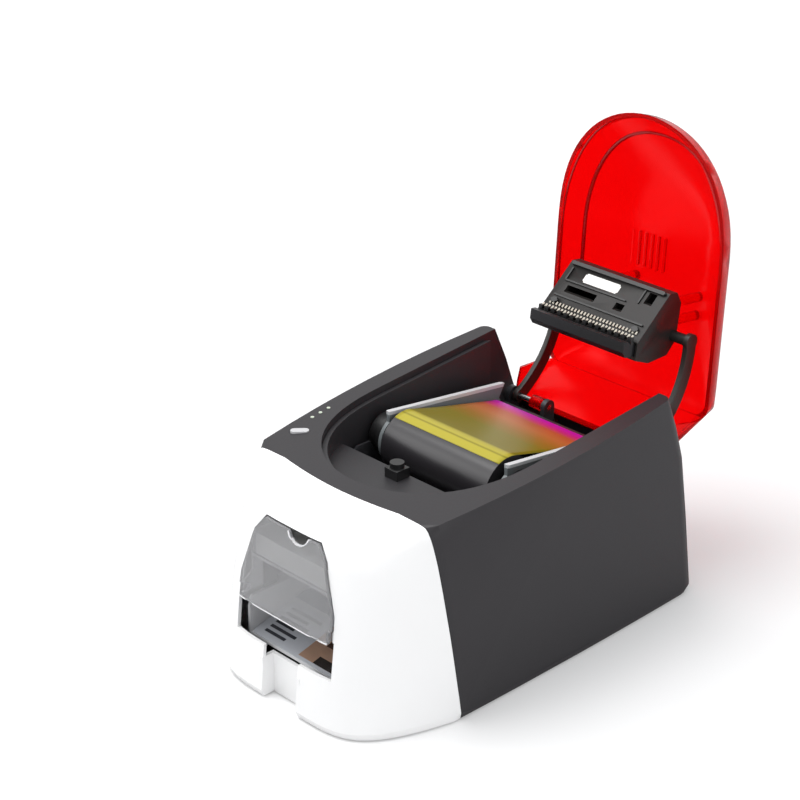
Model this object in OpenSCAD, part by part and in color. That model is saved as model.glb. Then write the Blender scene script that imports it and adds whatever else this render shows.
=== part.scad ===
// Desktop ID card printer with a domed hinged lid, a lift-out ribbon cassette,
// a card hopper behind a tilting visor and a geared card transport.
// Millimetres. X runs across the machine, the front faces -Y, Z is up.

/* [Body] */
// Overall width across the base
body_w = 188; // [180:2:226]
// Overall depth of the base, front to back
body_d = 323; // [315:1:388]
// Height of the top rim at its front edge
body_h = 145; // [135:1:174]
// Rise of the top rim towards the back, in degrees
rim_slope = 5; // [3:0.5:6]
// Wall thickness of the casings
wall = 2.4; // [2:0.2:3]
// Gap along the parting lines
part_gap = 0.4; // [0.3:0.1:0.6]
// Width of the bezel strip beside the top opening
bezel_w = 16; // [14:0.5:18]

/* [Lid] */
// Height of the lid's crown above its rim
lid_rise = 38; // [34:1:46]
// Wall thickness of the lid
lid_wall = 2.5; // [2:0.1:3]
// Clearance all round between the lid and the opening
lid_clear = 1; // [0.6:0.1:1.4]
// Angle through which the lid swings from shut to open
lid_swing = 98; // [90:1:98]
// Radius of the hinge pins
hinge_pin_r = 2; // [1.6:0.1:2.4]

/* [Cards] */
// Long side of a card, which lies across the machine
card_l = 85.6; // [85.6:0.1:85.8]
// Short side of a card, which is the feeding direction
card_w = 53.98; // [53.9:0.01:54.1]
// Thickness of a card
card_t = 0.76; // [0.5:0.01:0.9]
// Number of cards in the hopper
stack_n = 20; // [5:1:24]

/* [Card transport] */
// Depth of the card path below the front of the rim
path_drop = 51.5; // [50:0.5:54]
// Radius of the four driven rollers
roller_r = 7.5; // [6.5:0.25:7.75]
// Radius of the roller shafts
shaft_r = 3; // [2.5:0.25:3.5]
// Module of the transport gears
gear_m = 0.85; // [0.8:0.05:0.9]
// Teeth on each roller gear and idler gear
gear_z = 30; // [28:2:32]
// Teeth on the motor pinion
pinion_z = 20; // [18:2:22]
// Inner face of each side frame, from the middle
frame_x = 66; // [65:0.5:68]
// Sheet thickness of the side frames
frame_t = 2; // [1.5:0.5:2]
// Radial running clearance of every shaft
run_gap = 0.05; // [0.03:0.01:0.08]

/* [Ribbon cassette] */
// Radius of the full supply roll
supply_r = 23; // [16:0.5:23.5]
// Radius of the film wound on the take-up roll
takeup_r = 13; // [11:0.5:14]
// Width of the ribbon film
film_w = 100; // [92:1:102]
// Distance between the two spool axes
spool_gap = 88.7; // [88:0.1:90]
// Radius of the spool ends that rest in the side frames
hub_r = 15; // [14:0.25:15.5]
// Radius of the take-up spool's end beside its gear
gear_hub_r = 12; // [11:0.25:12]
// Travel of the cassette as it is lifted out
lift_travel = 170; // [120:5:180]

/* [Hidden] */
$fn = 48;
eps = 0.01;

// Middle of the open machine's standing room, behind the zero of the drawing
mid_y = 36.836;
half_w = body_w / 2;
front_y = -158;
rear_y = front_y + body_d;

// Rim: a flat top face that climbs to the back from its front edge
rim_front = front_y + 53;
function rim_z(y) = body_h + tan(rim_slope) * (y - rim_front);

// White front shell and dark casing part along a line that leans forward
function seam_y(z) = front_y + 78 - 0.139 * z;

// Top opening: a bullet outline, round at the front and straight at the sides
open_half = half_w - bezel_w;
open_nose = rim_front + 14;
open_full = open_nose + 101;
notch_z = body_h - 40;

// Lid hinge, at the low rear wall
hinge_y = rear_y - 31;
hinge_z = rim_z(hinge_y) - 52;
knuckle_r = 5;

// Card path and transport gears
path_z = body_h - path_drop;
axle_z = path_z - roller_r;
gear_pitch_r = gear_m * gear_z / 2;
pinion_pitch_r = gear_m * pinion_z / 2;
pickup_y = front_y + 67;
idler_front_y = pickup_y + 2 * gear_pitch_r;
feed_y = pickup_y + 4 * gear_pitch_r;
idler_middle_y = pickup_y + 6 * gear_pitch_r;
transport_y = pickup_y + 8 * gear_pitch_r;
idler_rear_y = pickup_y + 10 * gear_pitch_r;
platen_y = pickup_y + 12 * gear_pitch_r;
pinion_z_axis = axle_z - gear_pitch_r - pinion_pitch_r;
frame_out = frame_x + frame_t;
gear_x = frame_out + 2;
gear_w = 6;
shaft_end = gear_x + gear_w + 1;
roller_half = 42;
pinch_front_r = 5;
pinch_rear_r = 3;
pinch_front_z = path_z + card_t + pinch_front_r;
pinch_rear_z = path_z + card_t + pinch_rear_r;

// Ribbon cassette, seated
supply_y = platen_y - 57;
supply_z = path_z + 30.5;
spool_dip = 7.1;
takeup_y = supply_y + spool_gap * cos(spool_dip);
takeup_z = supply_z - spool_gap * sin(spool_dip);
cassette_y = (supply_y + takeup_y) / 2;
cassette_z = (supply_z + takeup_z) / 2;
plate_x = 55;
plate_t = 3;
journal_r = 9;
core_r = 9;
hub_wall = 3.5;
flange_x = plate_x + plate_t + 1;
flange_rim = 1.5;
flange_w = 3.5;
hub_end = frame_out + 2.5;
lift_lean = 31.3;

// Ribbon drive: a gear on the take-up core and one on the motor below it
core_teeth = 22;
drive_teeth = 30;
drive_gap = (core_teeth + drive_teeth) / 2;
drive_angle = -58.7;
drive_y = takeup_y + drive_gap * cos(drive_angle);
drive_z = takeup_z + drive_gap * sin(drive_angle);

// Base and rear connectors
foot_r = 8;
foot_h = 3;
pan_t = 2.5;
pan_top = foot_h + pan_t;
skirt_z = 1.2;
board_z = 12;
board_t = 1.6;
board_front = rear_y - 100;
board_back = rear_y - 10;
usb_x = -32;
power_x = 30;
usb_size = [12, 16, 11];
power_size = [10, 14, 11];
pan_screw_x = 62;
pan_screw_y = [front_y + 40, rear_y - 30];

// Front: visor, mouth and thumb notch
visor_bottom = path_z - 27.5;
visor_top = body_h - 16.5;
visor_half = 45;
visor_axis_y = front_y + 12;
visor_axis_z = visor_bottom + 4;
mouth_z = foot_h + 37;
mouth_half = 46.6;
thumb_half = 17;
hopper_floor = path_z - 0.9;
hopper_front = front_y + 19.5;
hopper_x = card_l / 2 + 0.8;
hopper_t = 1.8;
tray_y = front_y + 14.2;
tray_z = mouth_z - 6;
tray_slope = 14;
tray_l = 58;

// Power button on the left of the bezel
button_x = 20 - half_w;
button_y = -70.5;
button_turn = 49;
button_travel = 0.8;
panel_z = rim_z(button_y) - 9;

// ---------------------------------------------------------------- helpers

// Moves a piece from the drawing's zero to the middle of the standing room
module placed() translate([0, -mid_y, 0]) children();

// Extrudes a side view, drawn as Y and Z, across the machine from x0 to x1
module across(x0, x1) translate([x0, 0, 0]) rotate([90, 0, 90]) linear_extrude(x1 - x0) children();

// A round bar along X
module rod(y, z, r, x0, x1) translate([x0, y, z]) rotate([0, 90, 0]) cylinder(r = r, h = x1 - x0);

// The same shape on both sides of the machine
module both() {
    children();
    mirror([1, 0, 0]) children();
}

// Lifts a shape drawn at the rim's front edge level onto the sloping rim plane
module on_rim(drop) translate([0, rim_front, body_h]) rotate([rim_slope, 0, 0])
    translate([0, -rim_front, -drop]) children();

// Everything above the rim plane, less a drop
module above_rim(drop) on_rim(drop) translate([-200, -300, 0]) cube([400, 800, 120]);

// Swings a shape drawn with the lid shut to the lid's open position
module opened() translate([0, hinge_y, hinge_z]) rotate([-lid_swing, 0, 0])
    translate([0, -hinge_y, -hinge_z]) children();

// The right half of an outline made whole, its first point being on the middle line
function both_halves(half) = concat(half, [for (i = [len(half) - 1:-1:1]) [-half[i][0], half[i][1]]]);

function corner_arc(x, y, r) = [for (a = [0:15:90]) [x - r + r * cos(a), y - r + r * sin(a)]];

// Bullet outline of the opening, the liner and the lid
function bullet(half, nose, full, back, r) = both_halves(concat(
    [for (i = [0:18]) let (t = 1 - pow(i / 18, 2)) [half * sqrt(1 - pow(t, 2.6)), full - t * (full - nose)]],
    corner_arc(half, back, r)));

// Outline of the body at one level: a rounded front, bowed sides and rounded rear corners
function body_line(L, t) = let (hf = L[2] - t, hm = L[5] - t, hr = L[6] - t, yf = L[1] + t,
                                ys = L[3] + t, yr = L[7] - t, r = max(L[8] - t, 1))
    both_halves(concat(
        [for (i = [0:16]) let (s = sin(90 * i / 16)) [hf * s, yf + (ys - yf) * pow(s, L[4])]],
        [for (i = [1:7]) let (u = i / 8) [hf + (hr - hf) * u + 4 * (hm - (hf + hr) / 2) * u * (1 - u),
                                          ys + (yr - r - ys) * u]],
        corner_arc(hr, yr, r)));

// Each level: height, front, half width at the front corner, corner's place, fullness,
// half width in the middle, half width at the rear, rear, rear corner radius
top_level = [0, rim_front, half_w - 10, rim_front + 11, 1.9, half_w - 1, half_w - 4.5, rear_y - 40, 6];
levels = [
    [skirt_z, front_y + 2, half_w - 2, front_y + 72, 5.6, half_w - 1.5, half_w - 4, rear_y - 2, 16],
    [6, front_y, half_w - 0.5, front_y + 76, 5.6, half_w - 0.2, half_w - 2.5, rear_y, 16],
    [66, front_y + 6, half_w - 2, front_y + 72, 5, half_w - 0.2, half_w - 3, rear_y - 10, 14],
    [body_h - 32, front_y + 12, half_w - 5, front_y + 67, 4, half_w - 0.5, half_w - 3.5, rear_y - 19, 12],
    [body_h - 16, front_y + 15, half_w - 6.5, front_y + 65, 3.4, half_w - 0.7, half_w - 4, rear_y - 25, 10],
    [body_h - 8, front_y + 21, half_w - 7.5, front_y + 64.5, 3, half_w - 0.8, half_w - 4.2, rear_y - 28, 9],
    [body_h - 3.5, front_y + 31, half_w - 8.5, front_y + 64, 2.4, half_w - 0.9, half_w - 4.4, rear_y - 30, 8]
];

// The closed body form, inset by t; an inset one is open at the floor
module body_solid(t) hull() {
    for (L = levels) translate([0, 0, L[0] - (t > 0 && L[0] == skirt_z ? 3 : 0)])
        linear_extrude(eps) polygon(body_line(L, t));
    on_rim(t) linear_extrude(eps) polygon(body_line(top_level, t));
}

module body_shell() difference() {
    body_solid(0);
    body_solid(wall);
}

// Standing prism of the bezel, grown by g, with its underside d below the rim
module bezel_block(g, d) intersection() {
    translate([0, 0, body_h - 50]) linear_extrude(120) polygon(body_line(top_level, -g));
    above_rim(d);
}

// Side view of everything ahead of the seam
module ahead_of_seam(g) across(-200, 200)
    polygon([[-400, -5], [seam_y(-5) - g, -5], [seam_y(260) - g, 260], [-400, 260]]);

// Front view of the visor, grown by g
module visor_outline(g) rotate([90, 0, 0]) linear_extrude(80, center = true) polygon([
    [-visor_half - g, visor_bottom - g], [visor_half + g, visor_bottom - g],
    [visor_half - 1 + g, visor_bottom + 18], [34 + g, visor_top - 10],
    [27 + g, visor_top + g], [-24 - g, visor_top + g],
    [-33 - g, visor_top - 10], [-visor_half + 1 - g, visor_bottom + 18]]);

// Involute gear outline with the middle of one tooth at angle phase
function involute(b, a) = [b * (cos(a) + a * PI / 180 * sin(a)), b * (sin(a) - a * PI / 180 * cos(a))];
function turned(p, a) = [p[0] * cos(a) - p[1] * sin(a), p[0] * sin(a) + p[1] * cos(a)];
module gear_shape(m, z, phase) {
    pitch = m * z / 2;
    base = pitch * cos(20);
    tip = pitch + 0.85 * m;
    root = pitch - 1.15 * m;
    slack = 0.06 / pitch * 180 / PI;
    half_tooth = 90 / z - slack + (tan(20) * 180 / PI - 20);
    tip_roll = sqrt(pow(tip / base, 2) - 1) * 180 / PI;
    flank = [for (i = [0:5]) turned(involute(base, tip_roll * i / 5), -half_tooth)];
    foot = [turned([root, 0], -half_tooth)];
    tooth = concat(foot, flank, [for (i = [5:-1:0]) [flank[i][0], -flank[i][1]]], [[foot[0][0], -foot[0][1]]]);
    polygon([for (k = [0:z - 1], p = tooth) turned(p, phase + k * 360 / z)]);
}

// A gear on a shaft along X, with a hub and a true bore
module shaft_gear(y, z, m, teeth, phase, x0, w, bore) difference() {
    translate([0, y, z]) across(x0, x0 + w) gear_shape(m, teeth, phase);
    rod(y, z, bore, x0 - 1, x0 + w + 1);
}

// ---------------------------------------------------------------- housing

module base_pan() color("#2b2b2d") placed() {
    difference() {
        translate([0, 0, foot_h]) linear_extrude(pan_t) polygon(body_line(levels[0], wall + part_gap));
        for (x = [-pan_screw_x, pan_screw_x], y = pan_screw_y) translate([x, y, 0]) cylinder(r = 1.7, h = 20);
        translate([-thumb_half - wall - part_gap, front_y - 5, 0])
            cube([2 * (thumb_half + wall + part_gap), 16 + wall + part_gap, 20]);
        for (x = [-36:8:36]) translate([x - 1.5, 20, 0]) cube([3, 40, 10]);
    }
    for (x = [-50, 50], y = [board_front + 8, board_back - 12])
        translate([x, y, pan_top]) cylinder(r = 3, h = board_z - pan_top);
    both() translate([frame_x - 10, -60, pan_top]) cube([10, 150, 2.5]);
}

module rubber_feet() color("#1a1a1a") placed()
    for (x = [-74, 74], y = [front_y + 52, rear_y - 42]) translate([x, y, 0]) cylinder(r = foot_r, h = foot_h);

// Lining of the opening's edge, which also closes the sides of the rear notch
module opening_flange() intersection() {
    difference() {
        translate([0, 0, notch_z]) linear_extrude(150)
            polygon(bullet(open_half + wall, open_nose - wall, open_full, rear_y + 40, 5));
        translate([0, 0, notch_z - 1]) linear_extrude(152)
            polygon(bullet(open_half, open_nose, open_full, rear_y + 60, 5));
    }
    body_solid(0);
    union() {
        above_rim(14);
        translate([-200, 60, notch_z]) cube([400, 200, 150]);
    }
}

module main_casing() color("#3e3d40") placed() difference() {
    union() {
        difference() {
            body_shell();
            difference() {
                ahead_of_seam(0);
                bezel_block(0, wall);
            }
        }
        opening_flange();
        both() translate([pan_screw_x, pan_screw_y[1], 0]) pan_boss(rear_y - 1.5 - pan_screw_y[1]);
    }
    translate([0, 0, notch_z]) linear_extrude(150)
        polygon(bullet(open_half, open_nose, open_full, rear_y + 60, 5));
    translate([usb_x - usb_size[0] / 2 - 0.5, rear_y - 20, board_z + board_t - 0.5])
        cube([usb_size[0] + 1, 40, usb_size[2] + 1]);
    translate([power_x - power_size[0] / 2 - 0.5, rear_y - 20, board_z + board_t - 0.5])
        cube([power_size[0] + 1, 40, power_size[2] + 1]);
    translate([58, rear_y - 20, 26]) cube([7, 40, 3]);
    for (i = [0:6]) translate([-24 + 8 * i - 1.5, rear_y - 30, 50]) cube([3, 40, 30]);
    translate([button_x, button_y, rim_z(button_y)]) rotate([0, 0, button_turn]) button_oval(0.35, -12, 12);
    for (i = [0:2]) status_spot(i, 0.15);
}

// A screw boss that stands off the rear wall above the base pan
module pan_boss(reach) difference() {
    union() {
        translate([0, 0, pan_top]) cylinder(r = 4, h = 12);
        translate([-2, 0, pan_top]) cube([4, reach, 12]);
    }
    translate([0, 0, pan_top - 1]) cylinder(r = 1.3, h = 12);
}

module front_shell() color("#f2f1f4") placed() difference() {
    union() {
        difference() {
            intersection() {
                body_shell();
                ahead_of_seam(part_gap);
            }
            bezel_block(part_gap, wall + part_gap);
            translate([-mouth_half, front_y - 10, mouth_z]) cube([2 * mouth_half, 45, visor_bottom + 1 - mouth_z]);
            translate([0, front_y + 20, 0]) visor_outline(part_gap + 0.6);
            translate([-thumb_half, front_y - 5, -1]) cube([2 * thumb_half, 18, mouth_z + 2]);
        }
        thumb_recess();
        both() translate([pan_screw_x, 0, 0]) front_boss();
    }
}

// Walls set back behind the thumb notch
module thumb_recess() {
    translate([-thumb_half - wall, front_y + 11, skirt_z]) cube([2 * (thumb_half + wall), wall, mouth_z - 9 - skirt_z]);
    both() translate([thumb_half, front_y + 1.8, skirt_z]) cube([wall, 10, mouth_z - 9 - skirt_z]);
}

module front_boss() difference() {
    union() {
        translate([0, pan_screw_y[0], pan_top]) cylinder(r = 4, h = 12);
        translate([-2, front_y + 10.5, pan_top]) cube([4, pan_screw_y[0] - front_y - 10.5, 12]);
    }
    translate([0, pan_screw_y[0], pan_top - 1]) cylinder(r = 1.3, h = 12);
}

// Screws up through the base pan into the casings' bosses
module casing_screws() color("#b8bbbd") placed()
    for (x = [-pan_screw_x, pan_screw_x], y = pan_screw_y) translate([x, y, foot_h - 1.6]) {
        cylinder(r = 3, h = 1.6);
        cylinder(r = 1.2, h = 12);
    }

// Inner trim of the bay: its wall, and the ledge ahead of the cassette
liner_gap = 0.3;
liner_t = 3.5;
ledge_z = path_z + 36.5;
ledge_y = front_y + 120;
liner_back = rear_y - 49;
module liner_plan(inset, back) polygon(bullet(open_half - inset, open_nose + inset, open_full, back, 4));
module bay_liner() color("#2e2d30") placed() difference() {
    union() {
        difference() {
            translate([0, 0, path_z + 10.5]) linear_extrude(120) liner_plan(liner_gap, liner_back);
            translate([0, 0, path_z + 9]) linear_extrude(123) liner_plan(liner_gap + liner_t, liner_back + 20);
            translate([-100, front_y, 0]) cube([200, ledge_y - front_y, ledge_z - 3]);
        }
        intersection() {
            translate([0, 0, ledge_z - 3]) linear_extrude(3) liner_plan(liner_gap + 1, liner_back);
            translate([-100, front_y, 0]) cube([200, ledge_y - front_y, 300]);
        }
        translate([-72, ledge_y - 2, ledge_z - 12]) cube([144, 2, 11]);
    }
    above_rim(5);
    translate([-open_half - 10, rear_y - 88, path_z + 20]) rotate([0, 90, 0]) cylinder(r = 6, h = 20);
}

// Small optical sensor housing on the ledge, looking at the ribbon
module ribbon_sensor() color("#141414") placed() difference() {
    union() {
        translate([-11, ledge_y - 13, ledge_z]) cube([12, 12, 7]);
        translate([-5, ledge_y - 7, ledge_z + 7]) cylinder(r = 5, h = 4);
    }
    translate([-5, ledge_y - 4, ledge_z + 4]) rotate([-90, 0, 0]) cylinder(r = 1.5, h = 6);
}

module button_oval(g, z0, z1) translate([0, 0, z0]) linear_extrude(z1 - z0) union() {
    for (s = [-1, 1]) translate([s * 3.5, 0]) circle(r = 3 + g);
    square([7, 6 + 2 * g], center = true);
}

module power_button() color("#c8c8c8") placed()
    translate([button_x, button_y, rim_z(button_y)]) rotate([0, 0, button_turn]) {
        button_oval(0, -3.6, 1);
        button_oval(1.2, -4.4, -3.2);
    }

// Small board under the bezel: the button's switch, the lights and two spacers
module panel_board() color("#1f5c3a") placed() {
    translate([button_x, button_y, panel_z]) linear_extrude(1.2)
        polygon([[12, -7.5], [-5, -7.5], [-11.5, 18.5], [-11.5, 38.5], [-6.5, 38.5], [-5.6, 22.5], [4, 10.5]]);
    translate([button_x, button_y, panel_z + 1]) rotate([0, 0, button_turn]) translate([-4, -3, 0])
        cube([8, 6, rim_z(button_y) - 5.3 - panel_z - 1]);
    for (p = [[button_x + 7, -76], [button_x - 7.6, -60]]) translate([p[0], p[1], panel_z]) cylinder(r = 1.5, h = rim_z(p[1]) - wall - panel_z - 0.1);
}

// Three round indicator windows beside the opening
module status_spot(i, g) translate([button_x - 8 - 0.6 * i, -52 + 8 * i, panel_z + 1.2])
    cylinder(r = 1.3 + g, h = rim_z(-52 + 8 * i) + (g > 0 ? 5 : 0.3) - panel_z - 1.2);

module status_lights() color("#d8e6d0") placed() for (i = [0:2]) status_spot(i, 0);

// ---------------------------------------------------------------- chassis

// Side frame with bushed bores, the two cassette slots and a foot for the base pan
module frame_view(takeup_hub) difference() {
    polygon([[pickup_y - 21, pan_top + 2.5], [hinge_y - 10, pan_top + 2.5], [hinge_y - 10, path_z + 18],
             [takeup_y + 23, path_z + 30], [supply_y - 29, path_z + 30], [ledge_y + 2, path_z + 22],
             [ledge_y + 2, path_z + 6.5], [pickup_y - 21, path_z + 6.5]]);
    for (p = [[supply_y, supply_z, hub_r], [takeup_y, takeup_z, takeup_hub]]) translate([p[0], p[1]]) {
        circle(r = p[2] + 0.3);
        rotate(lift_lean) translate([-p[2] - 0.25, 0]) square([2 * p[2] + 0.5, 60]);
    }
    for (y = [pickup_y, feed_y, transport_y, platen_y]) translate([y, axle_z]) circle(r = shaft_r + 2.05);
    translate([idler_rear_y, pinion_z_axis]) circle(r = 6);
    translate([drive_y, drive_z]) circle(r = 3);
    translate([feed_y, pinch_front_z]) circle(r = 2 + run_gap);
    translate([transport_y, pinch_rear_z]) circle(r = 1.5 + run_gap);
    for (y = [pickup_y + 20, transport_y - 10, takeup_y - 10]) translate([y, 30]) circle(r = 12);
}

module side_frame(takeup_hub) {
    across(frame_x, frame_out) frame_view(takeup_hub);
    translate([frame_x - 9, -58, pan_top + 2.5]) cube([9 + frame_t, 146, 1.5]);
}

module side_frame_right() color("#3c3d40") placed() side_frame(hub_r);
module side_frame_left() color("#3c3d40") placed() mirror([1, 0, 0]) side_frame(gear_hub_r);

// Cross bars that tie the side frames together
module chassis_bars() color("#55575a") placed() {
    translate([-frame_x, hinge_y - 16, path_z + 12]) cube([2 * frame_x, 6, 5]);
    translate([-frame_x, platen_y + 16, 36]) cube([2 * frame_x, 6, 6]);
    translate([-frame_x, feed_y - 3, 36]) cube([2 * frame_x, 6, 6]);
}

// Brackets on the rear wall, each with two ears for a hinge pin
bracket_x = [31, 35, 66, 70];
function rear_wall_y(z) = rear_y - 10 - wall - 0.05 - 9 * (z - 66) / (body_h - 98);
module hinge_brackets() color("#242326") placed() both() difference() {
    union() {
        for (x = [bracket_x[0], bracket_x[2]]) {
            rod(hinge_y, hinge_z, 5.5, x, x + 4);
            translate([x, hinge_y - 5.5, notch_z - 14]) cube([4, 11, hinge_z - notch_z + 14]);
        }
        translate([bracket_x[0], hinge_y - 5.5, notch_z - 14]) cube([bracket_x[3] - bracket_x[0], 11, 8]);
        across(bracket_x[0], bracket_x[3]) polygon([
            [hinge_y + 2, notch_z - 20], [rear_wall_y(notch_z - 20), notch_z - 20],
            [rear_wall_y(notch_z - 6), notch_z - 6], [hinge_y + 2, notch_z - 6]]);
    }
    rod(hinge_y, hinge_z, hinge_pin_r, bracket_x[0] - 1, bracket_x[3] + 1);
}

module hinge_pins() color("#c9ccce") placed() both()
    rod(hinge_y, hinge_z, hinge_pin_r, bracket_x[0], bracket_x[3]);

module shaft_bushes() color("#c08a3e") placed() both()
    for (y = [pickup_y, feed_y, transport_y, platen_y]) difference() {
        union() {
            rod(y, axle_z, shaft_r + 2, frame_x - 1, frame_out);
            rod(y, axle_z, shaft_r + 3, frame_x - 1.6, frame_x);
        }
        rod(y, axle_z, shaft_r + run_gap, frame_x - 3, frame_out + 1);
    }

// Fixed pins that carry the three idler gears
module idler_pins() color("#c9ccce") placed()
    for (y = [idler_front_y, idler_middle_y, idler_rear_y]) {
        rod(y, axle_z, 4, frame_out, gear_x - 0.3);
        rod(y, axle_z, 2.5, frame_out, shaft_end);
        rod(y, axle_z, 4, gear_x + gear_w + 0.3, shaft_end);
    }

// Stepper motor on the inside of the right frame
motor_s = 35;
module transport_motor() color("#2a2a2c") placed() difference() {
    union() {
        across(frame_x - 28, frame_x) translate([idler_rear_y, pinion_z_axis])
            intersection() {
                square(motor_s, center = true);
                circle(r = motor_s * 0.62);
            }
        rod(idler_rear_y, pinion_z_axis, 5.9, frame_x, frame_out);
    }
    rod(idler_rear_y, pinion_z_axis, 2.5 + run_gap, frame_x - 20, frame_out + 1);
}

// Small motor on the outside of the left frame
module ribbon_motor() color("#a9acae") placed() difference() {
    union() {
        rod(drive_y, drive_z, 12, -frame_out - 17.5, -frame_out);
        rod(drive_y, drive_z, 2.9, -frame_out, -frame_x);
    }
    rod(drive_y, drive_z, 1.5 + run_gap, -frame_out - 12, -frame_x + 1);
}

// ---------------------------------------------------------------- cards

// Hopper behind the visor: floor, side cheeks and the visor's pivot holes
module card_hopper() color("#d6d6d8") placed() difference() {
    union() {
        translate([-hopper_x, hopper_front, hopper_floor - 2]) cube([2 * hopper_x, card_w + 1.5, 2]);
        both() across(hopper_x, hopper_x + hopper_t) polygon([
            [hopper_front + card_w + 1.5, hopper_floor - 2], [hopper_front + 8, hopper_floor - 2],
            [hopper_front + 8, visor_axis_z - 4], [visor_axis_y - 2.2, visor_axis_z - 4],
            [visor_axis_y - 2.2, visor_axis_z + 3], [hopper_front, visor_axis_z + 10],
            [hopper_front, body_h - 30], [hopper_front + card_w + 1.5, body_h - 30]]);
        translate([-hopper_x, hopper_front + card_w + 0.3, hopper_floor + 3]) cube([2 * hopper_x, 1.2, 27]);
        both() translate([hopper_x, pickup_y - 15, hopper_floor - 8]) cube([frame_x - hopper_x, 4, 8]);
    }
    translate([-roller_half - 0.8, pickup_y - roller_r - 1, hopper_floor - 3])
        cube([2 * roller_half + 1.6, 2 * roller_r + 2, 4]);
    rod(visor_axis_y, visor_axis_z, 1.5 + run_gap, -hopper_x - 5, hopper_x + 5);
}

module card_blank() linear_extrude(card_t) union() {
    square([card_l - 6.36, card_w], center = true);
    square([card_l, card_w - 6.36], center = true);
    for (x = [-1, 1], y = [-1, 1]) translate([x * (card_l / 2 - 3.18), y * (card_w / 2 - 3.18)]) circle(r = 3.18);
}

module card_stack() color("#f4f4f2") placed()
    for (i = [0:stack_n - 1])
        translate([0, hopper_front + 0.1 + card_w / 2, path_z + 0.1 + i * (card_t + 0.02)]) card_blank();

// Output tray under the hopper: a sloping floor with a guide at each side
module tray_view() polygon([[tray_y, tray_z - 2], [tray_y + tray_l * cos(tray_slope), tray_z - 2 + tray_l * sin(tray_slope)],
                            [tray_y + tray_l * cos(tray_slope), tray_z + tray_l * sin(tray_slope)], [tray_y, tray_z]]);
module output_tray() color("#c4c5c7") placed() {
    across(-hopper_x, hopper_x) tray_view();
    both() across(hopper_x - 0.4, hopper_x + 2) polygon([
        [tray_y, tray_z - 2], [tray_y + tray_l * cos(tray_slope), tray_z - 2 + tray_l * sin(tray_slope)],
        [tray_y + tray_l * cos(tray_slope), visor_bottom - 5], [tray_y + 4, visor_bottom - 5], [tray_y, visor_bottom - 12]]);
    both() translate([hopper_x + 2, pickup_y - 8, tray_z + 10]) cube([frame_x - hopper_x - 2, 4, 8]);
}

module printed_card() color("#7f8ba0") placed()
    translate([0, tray_y + 0.4, tray_z + 0.05]) rotate([tray_slope, 0, 0])
        translate([0, card_w / 2, 0.05]) card_blank();

// Tilting visor over the hopper, with a finger scoop and two pivot stubs
module visor() color("#9a9a9a", 0.55) placed() {
    difference() {
        intersection() {
            difference() {
                body_solid(-2);
                body_solid(0.5);
            }
            translate([0, front_y + 20, 0]) visor_outline(0);
        }
        translate([9, front_y, visor_top + 3]) rotate([-90, 0, 0]) cylinder(r = 10, h = 40);
        both() translate([hopper_x - 0.4, front_y, visor_bottom - 1]) cube([20, 40, 10]);
    }
    both() {
        across(hopper_x - 3, hopper_x - 0.6) polygon([
            [visor_axis_y + 2.4, visor_axis_z - 2.4], [visor_axis_y + 2.4, visor_axis_z + 2.4],
            [visor_axis_y - 5.3, visor_axis_z + 6], [visor_axis_y - 5.3, visor_axis_z - 3.5]]);
        rod(visor_axis_y, visor_axis_z, 1.5, hopper_x - 1, hopper_x + 1.6);
    }
}

// ---------------------------------------------------------------- lid and print head

lid_half = open_half - lid_clear;
lid_nose = open_nose + lid_clear;
lid_seat = 4.5;
lid_back = rear_y - 47;
skirt_back = hinge_y + 5.5;
skirt_bottom = hinge_z + 6.5;
skirt_in = 6;
// Each level: share of the rise, inset at the sides, at the nose and at the back
lid_levels = [[0.12, 2, 3, 2], [0.35, 8, 13, 9], [0.6, 16, 28, 21], [0.85, 30, 46, 40], [1, 45, 68, 63]];

// The closed form of the lid, inset by t; an inset one is open below
module lid_solid(t) hull() {
    on_rim(lid_seat + (t > 0 ? 6 : 3)) linear_extrude(eps)
        polygon(bullet(lid_half - t, lid_nose + t, open_full, lid_back - t, 8));
    for (L = lid_levels) on_rim(t - L[0] * lid_rise) linear_extrude(eps)
        polygon(bullet(lid_half - L[1] - t, lid_nose + L[2] + t, open_full, lid_back - L[3] - t, 8 + L[1] / 4));
    translate([skirt_in - lid_half + t, skirt_back - 13, skirt_bottom - (t > 0 ? 3 : 0)])
        cube([2 * (lid_half - skirt_in - t), 13 - t, eps]);
}

boss_y = [platen_y - 20, platen_y - 6];
boss_x = 30;
knuckle_x = [37, 47];
module lid_shell() color("#e60000", 0.6) placed() opened() difference() {
    union() {
        intersection() {
            difference() {
                lid_solid(0);
                lid_solid(lid_wall);
            }
            union() {
                above_rim(lid_seat);
                translate([-200, lid_back - 2, 0]) cube([400, 100, 400]);
            }
        }
        for (x = [-boss_x, boss_x], y = boss_y) translate([x, y, head_top])
            cylinder(r = 3.6, h = rim_z(y) + lid_rise - lid_wall / 2 - 0.4 - head_top);
        on_rim(lid_wall + 2.5 - lid_rise) for (x = [-35:6:-5]) translate([x - 0.6, platen_y - 51, 0])
            cube([1.2, 26, lid_wall / 2 + 2.5]);
        both() {
            rod(hinge_y, hinge_z, knuckle_r, knuckle_x[0], knuckle_x[1]);
            translate([knuckle_x[0], hinge_y, hinge_z]) cube([10, skirt_back - hinge_y - 0.5, 9]);
        }
    }
    for (x = [-boss_x, boss_x], y = boss_y) translate([x, y, head_top - 1]) cylinder(r = 1.3, h = 12);
    rod(hinge_y, hinge_z, hinge_pin_r + run_gap, -60, 60);
}

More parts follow.
